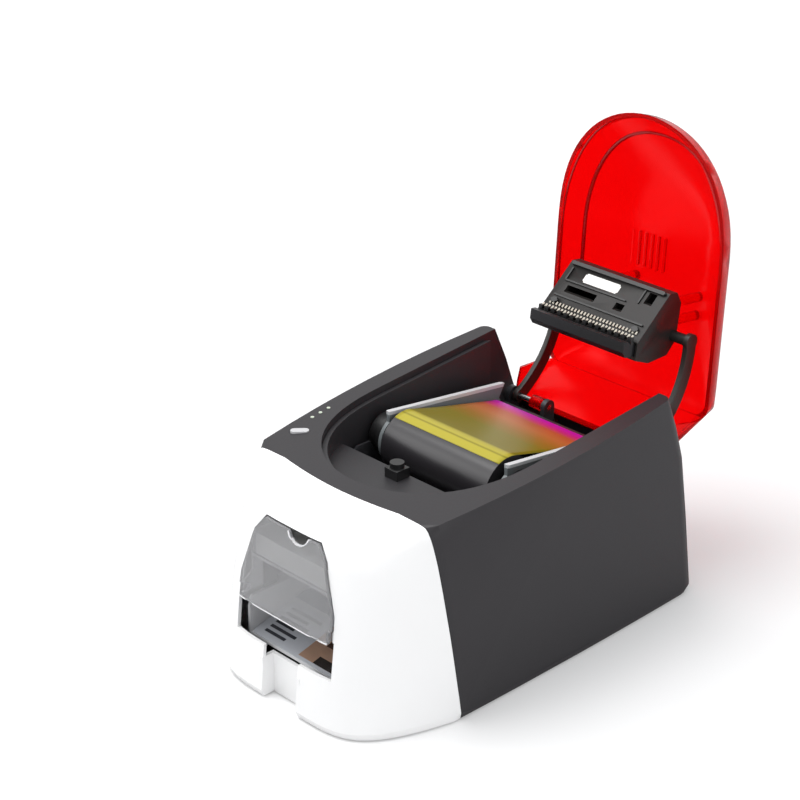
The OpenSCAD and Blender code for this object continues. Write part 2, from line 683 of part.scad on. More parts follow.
// Points of the print head's side view, measured from the top of the platen
function at_platen(p) = [for (q = p) [platen_y + q[0], path_z + q[1]]];
head_top = path_z + 56.5;
head_half = 46;
head_wall = 3;
sink_half = head_half - head_wall - 1;
head_joint = [platen_y - 2, path_z + 52.5];
arm_x = [59.5, 63.5];
arm_bend = [hinge_y - 30, hinge_z + 36];
arm_w = 10;

function bend(a, b, c, t) = (1 - t) * (1 - t) * a + 2 * t * (1 - t) * b + t * t * c;
function bend_side(a, b, c, t) = let (d = 2 * (1 - t) * (b - a) + 2 * t * (c - b)) [-d[1], d[0]] / norm(d);
module arm_view(start) {
    steps = [for (i = [0:10]) i / 10];
    polygon(concat(
        [for (t = steps) bend(start, arm_bend, head_joint, t) + arm_w / 2 * bend_side(start, arm_bend, head_joint, t)],
        [for (i = [10:-1:0]) bend(start, arm_bend, head_joint, i / 10)
            - arm_w / 2 * bend_side(start, arm_bend, head_joint, i / 10)]));
}

// Curved arm from the hinge pin to the side of the print head
module head_arm() opened() difference() {
    union() {
        across(arm_x[0], arm_x[1]) arm_view([hinge_y, hinge_z]);
        rod(hinge_y, hinge_z, 5.5, arm_x[0], arm_x[1]);
        rod(head_joint[0], head_joint[1], 6, arm_x[0], arm_x[1]);
    }
    rod(hinge_y, hinge_z, hinge_pin_r + run_gap, 50, 70);
}

module head_arm_right() color("#1d1612") placed() head_arm();
module head_arm_left() color("#1d1612") placed() mirror([1, 0, 0]) head_arm();

module head_frame() color("#4c4a49") placed() opened() difference() {
    union() {
        across(-head_half, head_half) polygon(at_platen([[-34, 42.5], [-2, 13.5], [11, 13.5], [15, 28.5],
                                                        [12, 48.5], [2, 56.5], [-26, 56.5], [-34, 50.5]]));
        rod(head_joint[0], head_joint[1], 4, -arm_x[0], arm_x[0]);
    }
    across(-head_half + head_wall, head_half - head_wall) polygon(at_platen([[-31, 43.9], [-0.7, 16.5],
        [8.4, 16.5], [12, 28.6], [9.2, 47], [1, 53.5], [-25, 53.5], [-31, 48.9]]));
    translate([1.5 - head_half, platen_y - 1.3, path_z + 10]) cube([2 * head_half - 3, 9.6, 10]);
    for (x = [-boss_x, boss_x], y = boss_y) translate([x, y, head_top - 5]) cylinder(r = 1.7, h = 8);
    // openings through the sloping face: middle, width, place and depth
    for (s = [[-22, 28, -19.5, 4.5], [14, 8, -19.5, 4.5], [34, 7, -31, 7]])
        translate([s[0] - s[1] / 2, platen_y + s[2], path_z]) cube([s[1], s[3], 44]);
}

module head_screws() color("#b8bbbd") placed() opened()
    for (x = [-boss_x, boss_x], y = boss_y) translate([x, y, 0]) {
        translate([0, 0, head_top - 5]) cylinder(r = 2.8, h = 2);
        translate([0, 0, head_top - 5]) cylinder(r = 1.25, h = 15);
    }

module thermal_head() color("#cfcac0") placed() opened() across(2 - head_half, head_half - 2)
    polygon(at_platen([[-3.5, 1.1], [4, 1.1], [8, 4.5], [8, 17.5], [-1, 17.5], [-1, 8.5], [-3.5, 5.5]]));

module heat_sink() color("#a7abad") placed() opened() {
    translate([-sink_half, platen_y - 0.5, path_z + 17.5]) cube([2 * sink_half, 8.5, 3.5]);
    for (y = [-0.5, 3, 6.5]) translate([-sink_half, platen_y + y, path_z + 20]) cube([2 * sink_half, 1.5, 16]);
}

// Toothed strip along the lower edge of the head
module head_comb() color("#d9d4c8") placed() opened() {
    translate([2 - head_half, platen_y - 3, path_z + 8.6]) cube([2 * head_half - 4, 2, 3.1]);
    for (x = [-42:6:42]) translate([x - 1.5, platen_y - 6, path_z + 8.6]) cube([3, 3.5, 3.1]);
}

module head_springs() color("#b8bbbd") placed() opened()
    for (x = [-36, 36]) translate([x, platen_y - 1, path_z + 37.8]) difference() {
        cylinder(r = 3.4, h = 14.3);
        translate([0, 0, -1]) cylinder(r = 2.6, h = 18);
    }

// ---------------------------------------------------------------- ribbon cassette

module in_cassette() translate([cassette_y, cassette_z]) rotate(-spool_dip) children();

module cassette_plate() difference() {
    union() {
        across(plate_x, plate_x + plate_t) in_cassette() union() {
            polygon([[-57, 22], [60, 22], [52, 2], [24, -22], [14, -26], [-10, -26], [-22, -22], [-54, 2]]);
            translate([-spool_gap / 2, 0]) circle(r = 18);
            translate([spool_gap / 2, 0]) circle(r = 16);
        }
        across(plate_x + plate_t, plate_x + plate_t + 0.9) in_cassette() polygon([
            [-56, 22], [59, 22], [59, 19.5], [25, 19.5], [18, -25], [-4, -25], [-23, 19.5], [-56, 19.5]]);
    }
    rod(supply_y, supply_z, journal_r + run_gap, 40, 80);
    rod(takeup_y, takeup_z, journal_r + run_gap, 40, 80);
}

module cassette_plate_right() color("#8f9596") placed() cassette_plate();
module cassette_plate_left() color("#8f9596") placed() mirror([1, 0, 0]) cassette_plate();

module cassette_bars() color("#8f9596") placed() across(-plate_x, plate_x) in_cassette() {
    translate([-16, -20]) circle(r = 2);
    translate([30, -13]) circle(r = 2);
}

// Film between the tops of the two rolls
film_t = 0.3;
film_lift = 0.3;
film_lean = asin((supply_r - takeup_r) / spool_gap);
function film_end(u, r) = [u + r * sin(film_lean), r * cos(film_lean)];
module ribbon_film() color("#d8cf3a") placed() across(-film_w / 2, film_w / 2) in_cassette() polygon([
    film_end(-spool_gap / 2, supply_r + film_lift), film_end(spool_gap / 2, takeup_r + film_lift),
    film_end(spool_gap / 2, takeup_r + film_lift + film_t), film_end(-spool_gap / 2, supply_r + film_lift + film_t)]);

// One end of a core: its flange or gear beside the plate, then a hub of radius r with a wide mouth
module spool_end(y, z, r) difference() {
    union() {
        children();
        rod(y, z, r, flange_x + flange_w - 0.1, hub_end);
    }
    rod(y, z, r - hub_wall, flange_x + flange_w - 1.5, hub_end + 1);
}

module flanged_end(y, z) spool_end(y, z, hub_r) rod(y, z, hub_r + flange_rim, flange_x, flange_x + flange_w);

// Core that turns in the plates, between the two ends that rest in the side frames
module spool_core(y, z) {
    rod(y, z, core_r, -flange_x - 1, flange_x + 1);
    flanged_end(y, z);
}

module supply_core() color("#1c1c1c") placed() {
    spool_core(supply_y, supply_z);
    mirror([1, 0, 0]) flanged_end(supply_y, supply_z);
}

module takeup_core() color("#1c1c1c") placed() {
    spool_core(takeup_y, takeup_z);
    mirror([1, 0, 0]) spool_end(takeup_y, takeup_z, gear_hub_r)
        shaft_gear(takeup_y, takeup_z, 1, core_teeth, drive_angle, flange_x, flange_w, core_r - 0.5);
}

module roll(y, z, r) difference() {
    rod(y, z, r, -film_w / 2, film_w / 2);
    rod(y, z, core_r + 0.02, -film_w, film_w);
}

module supply_roll() color("#3d3c3f") placed() roll(supply_y, supply_z, supply_r);
module takeup_roll() color("#a02a80") placed() roll(takeup_y, takeup_z, takeup_r);

// ---------------------------------------------------------------- rollers and gears

module driven_roller(y) {
    rod(y, axle_z, roller_r, -roller_half, roller_half);
    rod(y, axle_z, shaft_r, -frame_out - 1, shaft_end);
}

module roller_gear(y) shaft_gear(y, axle_z, gear_m, gear_z, 0, gear_x, gear_w, shaft_r);
module idler_gear(y) shaft_gear(y, axle_z, gear_m, gear_z, 180 / gear_z, gear_x, gear_w, 2.5 + run_gap);

module platen_roller() color("#202022") placed() driven_roller(platen_y);
module platen_gear() color("#e8e4d8") placed() roller_gear(platen_y);
module transport_roller() color("#202022") placed() driven_roller(transport_y);
module transport_gear() color("#e8e4d8") placed() roller_gear(transport_y);
module feed_roller() color("#202022") placed() driven_roller(feed_y);
module feed_gear() color("#e8e4d8") placed() roller_gear(feed_y);
module pickup_roller() color("#3a3f4a") placed() driven_roller(pickup_y);
module pickup_gear() color("#e8e4d8") placed() roller_gear(pickup_y);
module idler_gear_rear() color("#f0ece0") placed() idler_gear(idler_rear_y);
module idler_gear_middle() color("#f0ece0") placed() idler_gear(idler_middle_y);
module idler_gear_front() color("#f0ece0") placed() idler_gear(idler_front_y);

module motor_pinion() color("#b59a5a") placed() {
    shaft_gear(idler_rear_y, pinion_z_axis, gear_m, pinion_z, 180 / pinion_z, gear_x, gear_w, 2);
    rod(idler_rear_y, pinion_z_axis, 2.5, frame_x - 18, shaft_end);
}

module pinch_roller(y, z, r, axle) {
    rod(y, z, r, -40, 40);
    rod(y, z, axle, -frame_out - 1, frame_out + 1);
}

module pinch_roller_front() color("#6d7073") placed() pinch_roller(feed_y, pinch_front_z, pinch_front_r, 2);
module pinch_roller_rear() color("#6d7073") placed() pinch_roller(transport_y, pinch_rear_z, pinch_rear_r, 1.5);

module ribbon_drive_gear() color("#e8e4d8") placed() {
    shaft_gear(drive_y, drive_z, 1, drive_teeth, drive_angle + 180 + 180 / drive_teeth,
               -flange_x - flange_w + 0.3, flange_w - 0.3, 1.2);
    rod(drive_y, drive_z, 1.5, -frame_out - 10, -flange_x + 1);
}

// ---------------------------------------------------------------- electronics

module main_board() color("#1f5c3a") placed() difference() {
    translate([-58, board_front, board_z]) cube([116, board_back - board_front, board_t]);
    for (x = [-50, 50], y = [board_front + 8, board_back - 12]) translate([x, y, 0]) cylinder(r = 1.5, h = 30);
}

module board_chips() color("#222222") placed() {
    for (c = [[-20, 30, 18, 18, 2.2], [14, 30, 14, 20, 2.6], [-44, 26, 10, 16, 2], [36, 24, 12, 10, 9]])
        translate([c[0], board_front + c[1], board_z + board_t]) cube([c[2], c[3], c[4]]);
    for (x = [-30, -12, 6]) translate([x, board_front + 62, board_z + board_t]) cylinder(r = 4, h = 11);
}

module usb_socket() color("#c9ccce") placed() difference() {
    translate([usb_x - usb_size[0] / 2, rear_y - 17.5, board_z + board_t]) cube(usb_size);
    translate([usb_x - 4.2, rear_y - 12, board_z + board_t + 1.5]) cube([8.4, 20, 8]);
}

module power_socket() color("#1b1b1b") placed() difference() {
    translate([power_x - power_size[0] / 2, rear_y - 15.5, board_z + board_t]) cube(power_size);
    translate([power_x, rear_y - 11, board_z + board_t + 5.5]) rotate([-90, 0, 0]) difference() {
        cylinder(r = 2.75, h = 20);
        cylinder(r = 1, h = 9);
    }
}

base_pan();
rubber_feet();
main_casing();
front_shell();
bay_liner();
side_frame_left();
side_frame_right();
chassis_bars();
hinge_brackets();
hinge_pins();
ribbon_sensor();
card_hopper();
card_stack();
output_tray();
printed_card();
main_board();
board_chips();
usb_socket();
power_socket();
transport_motor();
ribbon_motor();
shaft_bushes();
idler_pins();
casing_screws();
status_lights();
panel_board();
power_button();
visor();
lid_shell();
head_arm_left();
head_arm_right();
head_frame();
head_screws();
thermal_head();
heat_sink();
head_comb();
head_springs();
cassette_plate_left();
cassette_plate_right();
cassette_bars();
ribbon_film();
supply_core();
supply_roll();
takeup_core();
takeup_roll();
platen_roller();
platen_gear();
transport_roller();
transport_gear();
feed_roller();
feed_gear();
pickup_roller();
pickup_gear();
idler_gear_rear();
idler_gear_middle();
idler_gear_front();
motor_pinion();
pinch_roller_front();
pinch_roller_rear();
ribbon_drive_gear();
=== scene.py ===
from math import atan2, cos, pi, radians, sin, sqrt, tan

import bmesh
import bpy
from mathutils import Matrix, Vector


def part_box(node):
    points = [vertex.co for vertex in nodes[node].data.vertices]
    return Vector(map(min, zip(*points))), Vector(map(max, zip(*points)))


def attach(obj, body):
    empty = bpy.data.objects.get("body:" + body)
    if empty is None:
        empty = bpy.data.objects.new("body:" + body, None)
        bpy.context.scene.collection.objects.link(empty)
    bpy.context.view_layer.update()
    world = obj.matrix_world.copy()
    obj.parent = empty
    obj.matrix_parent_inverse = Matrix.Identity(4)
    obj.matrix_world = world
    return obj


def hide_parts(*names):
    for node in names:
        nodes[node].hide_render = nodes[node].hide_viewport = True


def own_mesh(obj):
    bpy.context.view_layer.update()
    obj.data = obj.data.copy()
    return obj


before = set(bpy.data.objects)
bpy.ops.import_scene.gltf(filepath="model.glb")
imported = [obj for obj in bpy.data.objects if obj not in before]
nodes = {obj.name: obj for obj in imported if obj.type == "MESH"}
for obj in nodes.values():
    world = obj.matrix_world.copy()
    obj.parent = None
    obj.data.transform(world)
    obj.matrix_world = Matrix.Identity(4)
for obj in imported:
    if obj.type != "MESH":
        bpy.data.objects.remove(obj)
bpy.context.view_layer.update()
scene = bpy.context.scene

# ---------------------------------------------------------------- studio
# A pale floor under a white sky, three soft lamps and the camera. The floor
# shows white wherever no shadow falls on it, also when seen through plastic.


def placed(name, data):
    """A new object in the scene, at the origin."""
    made = bpy.data.objects.new(name, data)
    scene.collection.objects.link(made)
    return made


def linear(code):
    """An sRGB hex colour as linear RGBA."""
    parts = [int(code[i:i + 2], 16) / 255 for i in (1, 3, 5)]
    return tuple(c / 12.92 if c <= 0.04045 else ((c + 0.055) / 1.055) ** 2.4 for c in parts) + (1.0,)


def add(tree, kind, settings=(), links=()):
    """Adds a node, sets its properties and sockets, and feeds its sockets from other nodes' outputs."""
    made = tree.nodes.new(kind)
    for key, value in dict(settings).items():
        if isinstance(key, str) and hasattr(made, key) and key not in ("inputs", "outputs"):
            setattr(made, key, value)
        else:
            made.inputs[key].default_value = value
    for key, (source, out) in dict(links).items():
        tree.links.new(source.outputs[out], made.inputs[key])
    return made


def new_material(name):
    """An empty material; gives it and its tree."""
    made = bpy.data.materials.new(name)
    made.use_nodes = True
    made.node_tree.nodes.clear()
    return made, made.node_tree


def mesh_from(work, name, material):
    """Ends the work on a shape: a mesh with its finish."""
    mesh = bpy.data.meshes.new(name)
    work.to_mesh(mesh)
    work.free()
    mesh.materials.append(material)
    return mesh


scene.view_settings.view_transform = "Standard"

# a long lens in front of the machine, above it and to its right
camera_data = bpy.data.cameras.new("viewpoint")
camera_data.sensor_width = 36
camera_data.lens = 93.2
camera_data.clip_start = 0.05
camera_data.clip_end = 60
camera = placed("viewpoint", camera_data)
camera.location = (0.8882, -0.932036, 0.7608)
away_from_aim = Vector((0.6556, -0.6260, 0.4223))
camera.rotation_euler = away_from_aim.to_track_quat("Z", "Y").to_euler()
scene.camera = camera

# matt paper that glows more with distance, where the lamps' light fades
floor_material, tree = new_material("studio_floor")
rays = add(tree, "ShaderNodeLightPath")
seen = add(tree, "ShaderNodeMath", {"operation": "MAXIMUM"},
           {0: (rays, "Is Camera Ray"), 1: (rays, "Is Transmission Ray")})
matt = add(tree, "ShaderNodeBsdfDiffuse", {"Color": linear("#e6e6e6")})
place = add(tree, "ShaderNodeTexCoord")
distance = add(tree, "ShaderNodeVectorMath", {"operation": "LENGTH"}, {0: (place, "Object")})
strength = add(tree, "ShaderNodeMapRange", {"From Min": 0.7, "From Max": 2.2, "To Min": 0.16, "To Max": 0.75},
               {"Value": (distance, "Value")})
glow = add(tree, "ShaderNodeEmission", {"Color": linear("#ffffff")}, {"Strength": (strength, 0)})
lit = add(tree, "ShaderNodeAddShader", (), {0: (matt, 0), 1: (glow, 0)})
plain = add(tree, "ShaderNodeBsdfDiffuse", {"Color": linear("#d8d8d8")})
choice = add(tree, "ShaderNodeMixShader", (), {0: (seen, 0), 1: (plain, 0), 2: (lit, 0)})
add(tree, "ShaderNodeOutputMaterial", (), {"Surface": (choice, 0)})

floor_reach = 6
sheet = bmesh.new()
bmesh.ops.create_grid(sheet, x_segments=1, y_segments=1, size=floor_reach)
placed("studio_floor", mesh_from(sheet, "studio_floor", floor_material))

# the sky is white to the eye and in reflections, and a softer fill for everything else
world = bpy.data.worlds.new("studio")
scene.world = world
world.use_nodes = True
tree = world.node_tree
tree.nodes.clear()
rays = add(tree, "ShaderNodeLightPath")
seen = add(tree, "ShaderNodeMath", {"operation": "MAXIMUM"},
           {0: (rays, "Is Camera Ray"), 1: (rays, "Is Glossy Ray")})
seen = add(tree, "ShaderNodeMath", {"operation": "MAXIMUM"}, {0: (seen, 0), 1: (rays, "Is Transmission Ray")})
soft_fill = add(tree, "ShaderNodeBackground", {"Color": linear("#fcfdff"), "Strength": 0.68})
white_back = add(tree, "ShaderNodeBackground", {"Color": linear("#ffffff"), "Strength": 1.0})
choice = add(tree, "ShaderNodeMixShader", (), {0: (seen, 0), 1: (soft_fill, 0), 2: (white_back, 0)})
add(tree, "ShaderNodeOutputWorld", (), {"Surface": (choice, 0)})

for name, stand, aim, side, watts in (
        ("overhead_panel", (-0.5, -0.5, 1.9), (0, 0, 0.1), 1.3, 26),
        ("left_panel", (-1.6, -1.1, 1.0), (0, -0.05, 0.15), 1.1, 8),
        ("right_panel", (1.8, -0.2, 0.9), (0, 0, 0.1), 1.2, 9)):
    lamp_data = bpy.data.lights.new(name, "AREA")
    lamp_data.shape = "SQUARE"
    lamp_data.size = side
    lamp_data.energy = watts
    lamp = placed(name, lamp_data)
    lamp.location = stand
    lamp.rotation_euler = (Vector(stand) - Vector(aim)).to_track_quat("Z", "Y").to_euler()

# ---------------------------------------------------------------- base pan and feet
# The pan is a tray of black ABS that the casings screw to, injection moulded
# with an even spark texture. Four pressed rubber feet are glued under it.

# the colour of a moulding drifts faintly over this distance
mottle_size = 0.0357


def moulded(name, colour, roughness, grain, relief, mottle=0.06, coat=0.0, glint=0.5):
    """A moulding: one colour with faint mottle, and the tool's grain, its size and depth in metres."""
    made, tree = new_material(name)
    place = add(tree, "ShaderNodeTexCoord")
    drift = add(tree, "ShaderNodeTexNoise", {"Scale": 1 / mottle_size, "Detail": 3.0},
                {"Vector": (place, "Object")})
    base = linear(colour)[:3]
    darker = tuple(c * (1 - mottle) for c in base) + (1,)
    lighter = tuple(min(1, c * (1 + mottle)) for c in base) + (1,)
    tint = add(tree, "ShaderNodeMix", {"data_type": "RGBA", 6: darker, 7: lighter}, {0: (drift, "Fac")})
    fine = add(tree, "ShaderNodeTexNoise", {"Scale": 1 / grain, "Detail": 2.0, "Roughness": 0.6},
               {"Vector": (place, "Object")})
    shine = add(tree, "ShaderNodeMapRange", {"To Min": roughness - 0.05, "To Max": roughness + 0.07},
                {"Value": (fine, "Fac")})
    bump = add(tree, "ShaderNodeBump", {"Strength": 0.6, "Distance": relief}, {"Height": (fine, "Fac")})
    skin = add(tree, "ShaderNodeBsdfPrincipled",
               {"IOR": 1.53, "Coat Weight": coat, "Coat Roughness": 0.12, "Specular IOR Level": glint},
               {"Base Color": (tint, 2), "Roughness": (shine, 0), "Normal": (bump, 0)})
    add(tree, "ShaderNodeOutputMaterial", (), {"Surface": (skin, 0)})
    return made


def dress(material, *names):
    """Gives CAD nodes their finish."""
    for name in names:
        mesh = nodes[name].data
        mesh.materials.clear()
        mesh.materials.append(material)


# spark-eroded tool: an even, dull black
dress(moulded("moulded_black_abs", "#232225", 0.5, grain=0.0009, relief=0.00006), "base_pan")
# pressed rubber: deep black, hardly any shine
dress(moulded("pressed_black_rubber", "#161616", 0.75, grain=0.0006, relief=0.00008), "rubber_feet")

# ---------------------------------------------------------------- control boards
# Glass-epoxy boards with a green solder mask: the main one stands on posts at
# the back with both sockets and its chips, the small one is under the button.

# solder mask: glossy green with paler lines where the copper tracks run, 1.2 mm apart
solder_mask, tree = new_material("green_solder_mask")
place = add(tree, "ShaderNodeTexCoord")
tracks = add(tree, "ShaderNodeTexBrick",
             {"Scale": 1.0, "Brick Width": 0.011, "Row Height": 0.0012, "Mortar Size": 0.00025,
              "Color1": linear("#0d4a26"), "Color2": linear("#0b4022"), "Mortar": linear("#1c6a3a")},
             {"Vector": (place, "Object")})
skin = add(tree, "ShaderNodeBsdfPrincipled", {"Roughness": 0.3, "IOR": 1.5},
           {"Base Color": (tracks, "Color")})
add(tree, "ShaderNodeOutputMaterial", (), {"Surface": (skin, 0)})
dress(solder_mask, "main_board", "panel_board")

# acetal: near black with a soft, waxy shine
black_pom = moulded("moulded_black_acetal", "#141415", 0.38, grain=0.0007, relief=0.00003)
dress(black_pom, "board_chips", "power_socket")


def drawn_metal(name, colour, metallic, gloss, mark_length, mark_gap):
    """Metal with fine marks along X; gloss is its least and greatest roughness, marks are in metres."""
    made, tree = new_material(name)
    place = add(tree, "ShaderNodeTexCoord")
    stretch = add(tree, "ShaderNodeMapping", {"Scale": (1 / mark_length, 1 / mark_gap, 1 / mark_gap)},
                  {"Vector": (place, "Object")})
    marks = add(tree, "ShaderNodeTexNoise", {"Scale": 1.0, "Detail": 3.0}, {"Vector": (stretch, 0)})
    shine = add(tree, "ShaderNodeMapRange", {"To Min": gloss[0], "To Max": gloss[1]},
                {"Value": (marks, "Fac")})
    skin = add(tree, "ShaderNodeBsdfPrincipled", {"Base Color": linear(colour), "Metallic": metallic},
               {"Roughness": (shine, 0)})
    add(tree, "ShaderNodeOutputMaterial", (), {"Surface": (skin, 0)})
    return made


# bright nickel over steel: streaked highlights; the marks are drawn coarser than real ones, to show
bright_steel = drawn_metal("nickel_plated_steel", "#c9ccce", 1.0, gloss=(0.18, 0.36),
                           mark_length=0.025, mark_gap=0.0008333)
dress(bright_steel, "usb_socket", "hinge_pins", "casing_screws", "head_screws", "head_springs",
      "pinch_roller_front", "pinch_roller_rear", "idler_pins")

# ---------------------------------------------------------------- chassis
# Two punched steel side frames joined by folded bars carry every shaft in
# bronze bushes. The motors and the lid's brackets have the same black plating.

# black zinc: satin dark grey, with a spangle that is drawn coarse enough to show
spangle_size = 0.005556
zinc_steel, tree = new_material("black_zinc_plated_steel")
place = add(tree, "ShaderNodeTexCoord")
spangle = add(tree, "ShaderNodeTexVoronoi", {"Scale": 1 / spangle_size}, {"Vector": (place, "Object")})
shade = add(tree, "ShaderNodeMix", {"data_type": "RGBA", 6: linear("#3a3a3d"), 7: linear("#4a4a4e")},
            {0: (spangle, "Color")})
shine = add(tree, "ShaderNodeMapRange", {"To Min": 0.3, "To Max": 0.48}, {"Value": (spangle, "Distance")})
skin = add(tree, "ShaderNodeBsdfPrincipled", {"Metallic": 0.5},
           {"Base Color": (shade, 2), "Roughness": (shine, 0)})
add(tree, "ShaderNodeOutputMaterial", (), {"Surface": (skin, 0)})
dress(zinc_steel, "side_frame_left", "side_frame_right", "chassis_bars", "hinge_brackets",
      "transport_motor", "ribbon_motor")

# sintered bronze: a warm satin metal, speckled by its pores
pore_size = 0.0004
bronze, tree = new_material("sintered_bronze")
place = add(tree, "ShaderNodeTexCoord")
pores = add(tree, "ShaderNodeTexNoise", {"Scale": 1 / pore_size, "Detail": 2.0},
            {"Vector": (place, "Object")})
shade = add(tree, "ShaderNodeMix", {"data_type": "RGBA", 6: linear("#8a6a35"), 7: linear("#c29a55")},
            {0: (pores, "Fac")})
skin = add(tree, "ShaderNodeBsdfPrincipled", {"Metallic": 1.0, "Roughness": 0.4}, {"Base Color": (shade, 2)})
add(tree, "ShaderNodeOutputMaterial", (), {"Surface": (skin, 0)})
dress(bronze, "shaft_bushes", "motor_pinion")

# ---------------------------------------------------------------- card transport
# Four driven rollers of ground black rubber on steel shafts, with moulded
# gears pressed on their ends, and three idler gears on pins in the right frame.

# ground rubber: dull dark grey; nylon: a warm milky white with a low shine
roller_rubber = moulded("ground_black_rubber", "#1d1d1f", 0.6, grain=0.0005, relief=0.00004)
nylon = moulded("moulded_natural_nylon", "#d8d3c4", 0.42, grain=0.0012, relief=0.00003)
for name in ("platen", "transport", "feed", "pickup"):
    dress(roller_rubber, name + "_roller")
    dress(nylon, name + "_gear")
dress(nylon, "idler_gear_rear", "idler_gear_middle", "idler_gear_front")
# the gear that shows inside the bay is black
dress(black_pom, "ribbon_drive_gear")

# ---------------------------------------------------------------- hopper, cards and tray
# The hopper and the tray are pale polystyrene mouldings between the side
# frames. Blank PVC cards lie in the hopper and one finished card in the tray.

# polystyrene: pale grey and smooth; laminated PVC: white with a clear gloss
pale_ps = moulded("moulded_pale_polystyrene", "#cfcfd1", 0.4, grain=0.0012, relief=0.00003)
dress(pale_ps, "card_hopper", "output_tray")
white_pvc = moulded("laminated_white_pvc", "#f4f4f1", 0.22, grain=0.002, relief=0.00001, mottle=0.02)
dress(white_pvc, "card_stack")


def middle(node):
    """The middle of a CAD node's box."""
    low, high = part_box(node)
    return (low + high) / 2


# the finished card: a shaded ground under plain blocks of dye, measured from its middle
print_finish, tree = new_material("printed_pvc")
card = middle("printed_card")
place = add(tree, "ShaderNodeTexCoord")
centred = add(tree, "ShaderNodeMapping", {"Location": (-card.x, -card.y, 0)}, {"Vector": (place, "Object")})
axes = add(tree, "ShaderNodeSeparateXYZ", (), {0: (centred, 0)})
shade = add(tree, "ShaderNodeMix", {"data_type": "RGBA", 6: linear("#c3c6cc"), 7: linear("#8b93a0")},
            {0: (axes, 1)})
# a band across the head of the card and three blocks below it: X limits, Y limits, colour
patches = [((-0.05, 0.05), (0.014, 0.03), "#33475f"),
           ((0.002, 0.036), (-0.024, 0.009), "#b08e78"),
           ((0.012, 0.028), (-0.008, 0.009), "#4a342a"),
           ((0.016, 0.036), (-0.024, -0.017), "#2d2624")]
# six bars where a card has its lines of text
bar_start, bar_height, first_bar, bar_pitch = -0.036, 0.0025, 0.004, 0.005
for k, length in enumerate((0.03, 0.022, 0.027, 0.018, 0.025, 0.02)):
    foot = first_bar - bar_pitch * k
    patches.append(((bar_start, bar_start + length), (foot, foot + bar_height), "#3a3c42"))
for across, along, colour in patches:
    cover = None
    for axis, limits in ((0, across), (1, along)):
        for operation, limit in zip(("GREATER_THAN", "LESS_THAN"), limits):
            side = add(tree, "ShaderNodeMath", {"operation": operation, 1: limit}, {0: (axes, axis)})
            if cover is not None:
                side = add(tree, "ShaderNodeMath", {"operation": "MULTIPLY"}, {0: (cover, 0), 1: (side, 0)})
            cover = side
    shade = add(tree, "ShaderNodeMix", {"data_type": "RGBA", 7: linear(colour)},
                {0: (cover, 0), 6: (shade, 2)})
skin = add(tree, "ShaderNodeBsdfPrincipled", {"Roughness": 0.22, "IOR": 1.53}, {"Base Color": (shade, 2)})
add(tree, "ShaderNodeOutputMaterial", (), {"Surface": (skin, 0)})
dress(print_finish, "printed_card")

# ---------------------------------------------------------------- casings
# The main casing and the front shell are ABS mouldings, screwed to the pan
# from below. A dark ABS lining clips into the bay and carries a round sensor.

# corners sharper than this are edges, to be broken and to stay crisp
crease = radians(32)


def applied(piece):
    """Applies a piece's modifiers and gives its new mesh."""
    depsgraph = bpy.context.evaluated_depsgraph_get()
    piece_mesh = bpy.data.meshes.new_from_object(piece.evaluated_get(depsgraph))
    piece.modifiers.clear()
    piece.data = piece_mesh
    return piece_mesh


def finished(node, name, material, body, edge=0.0004):
    """A CAD node's shape as a clean shell: flat faces joined, edges rounded over, curves shaded smooth."""
    weld, flat = 1e-6, radians(0.6)
    work = bmesh.new()
    work.from_mesh(nodes[node].data)
    bmesh.ops.remove_doubles(work, verts=work.verts, dist=weld)
    bmesh.ops.dissolve_degenerate(work, edges=work.edges, dist=weld)
    bmesh.ops.dissolve_limit(work, angle_limit=flat, verts=work.verts, edges=work.edges)
    for face in work.faces:
        face.smooth = True
    piece = placed(name, mesh_from(work, name, material))
    rounding = piece.modifiers.new("broken_edges", "BEVEL")
    rounding.width = edge
    rounding.segments = 2
    rounding.limit_method = "ANGLE"
    rounding.angle_limit = crease
    shading = piece.modifiers.new("broad_faces_shade_flat", "WEIGHTED_NORMAL")
    shading.keep_sharp = True
    applied(piece).set_sharp_from_angle(angle=crease)
    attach(piece, body)
    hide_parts(node)


# charcoal ABS: finely textured, so it greys softly towards the light
charcoal_abs = moulded("textured_charcoal_abs", "#2a282b", 0.42, grain=0.0011, relief=0.00005,
                       mottle=0.03, glint=0.33)
# white ABS: a polished tool, a clean gloss with slow waves in it
white_abs = moulded("gloss_white_abs", "#fafafa", 0.2, grain=0.006, relief=0.00002, mottle=0.01, coat=0.2)
# the lining: the same texture, darker and duller
dark_abs = moulded("textured_dark_abs", "#252427", 0.5, grain=0.0011, relief=0.00005, mottle=0.05)
finished("main_casing", "casing", charcoal_abs, "housing")
finished("front_shell", "white_shell", white_abs, "housing")
finished("bay_liner", "bay_trim", dark_abs, "housing")
finished("ribbon_sensor", "ribbon_eye", black_pom, "housing", edge=0.0005)

# ---------------------------------------------------------------- button and lights
# An oval ABS button cap, sprayed silver, slides in the casing's rim. Behind it
# three clear light pipes stand up from the board into the rim's small windows.

# silver paint: pale, with a soft even shine; light pipe: clear plastic, faintly green
silver = moulded("silver_painted_abs", "#c4c4c6", 0.3, grain=0.0008, relief=0.00001)
finished("power_button", "button_cap", silver, "button", edge=0.0005)
light_window = moulded("clear_light_pipe", "#c8d2c0", 0.2, grain=0.002, relief=0.00001)
dress(light_window, "status_lights")
